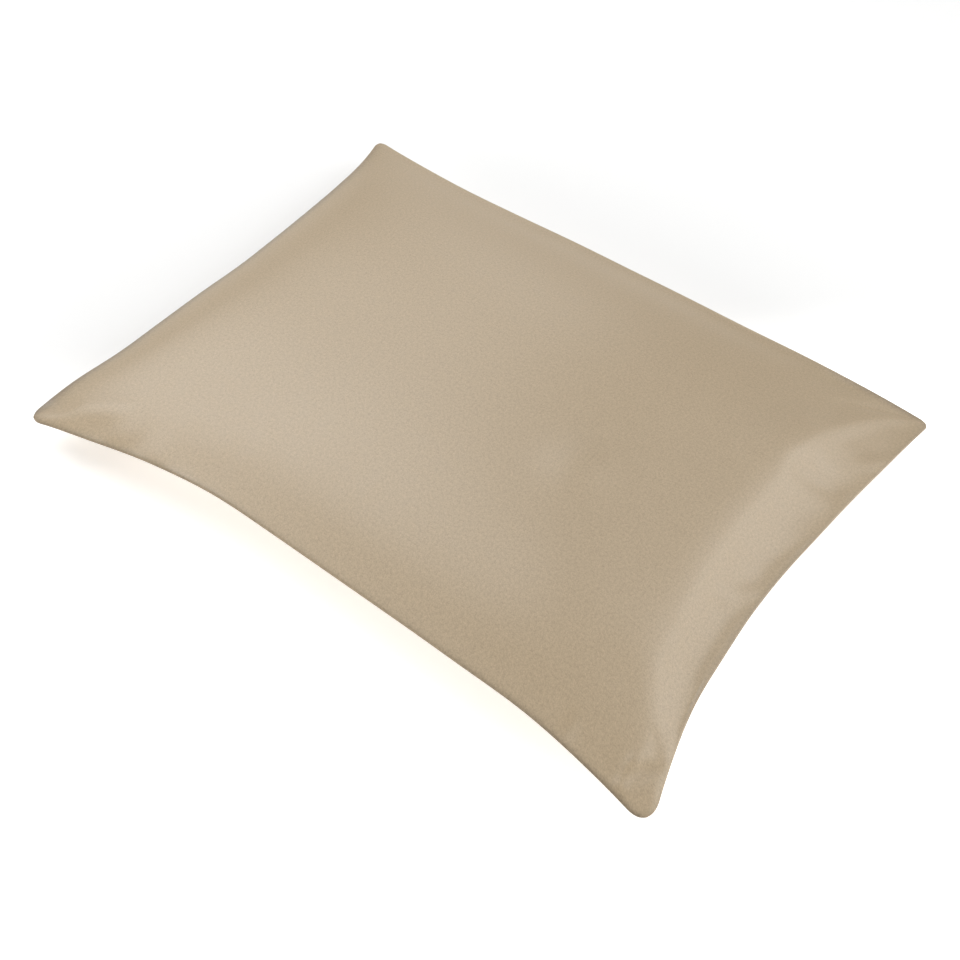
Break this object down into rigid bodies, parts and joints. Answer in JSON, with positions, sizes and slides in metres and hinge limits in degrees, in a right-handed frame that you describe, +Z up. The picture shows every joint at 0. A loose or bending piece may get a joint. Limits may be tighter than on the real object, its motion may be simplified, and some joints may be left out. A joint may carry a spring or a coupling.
{
  "type": "filled pillowcase",
  "caption": "Plain satin pillowcase filled with its pillow, lying on its back, with a smooth crown, drawn-in sides and soft pointed corners.",
  "frame": {"origin": "middle of the resting face, below the middle of the box, on the surface it lies on", "axes": "+X along the long sides towards the end with the marked shoulder, +Y across, +Z up through the crown"},
  "size_m": [0.6536, 0.5198, 0.0984],
  "materials": {
    "satin": "smooth satin weave, champagne beige, soft broad sheen"
  },
  "bodies": {
    "root": {"pillowcase": "satin"}
  },
  "joints": []
}
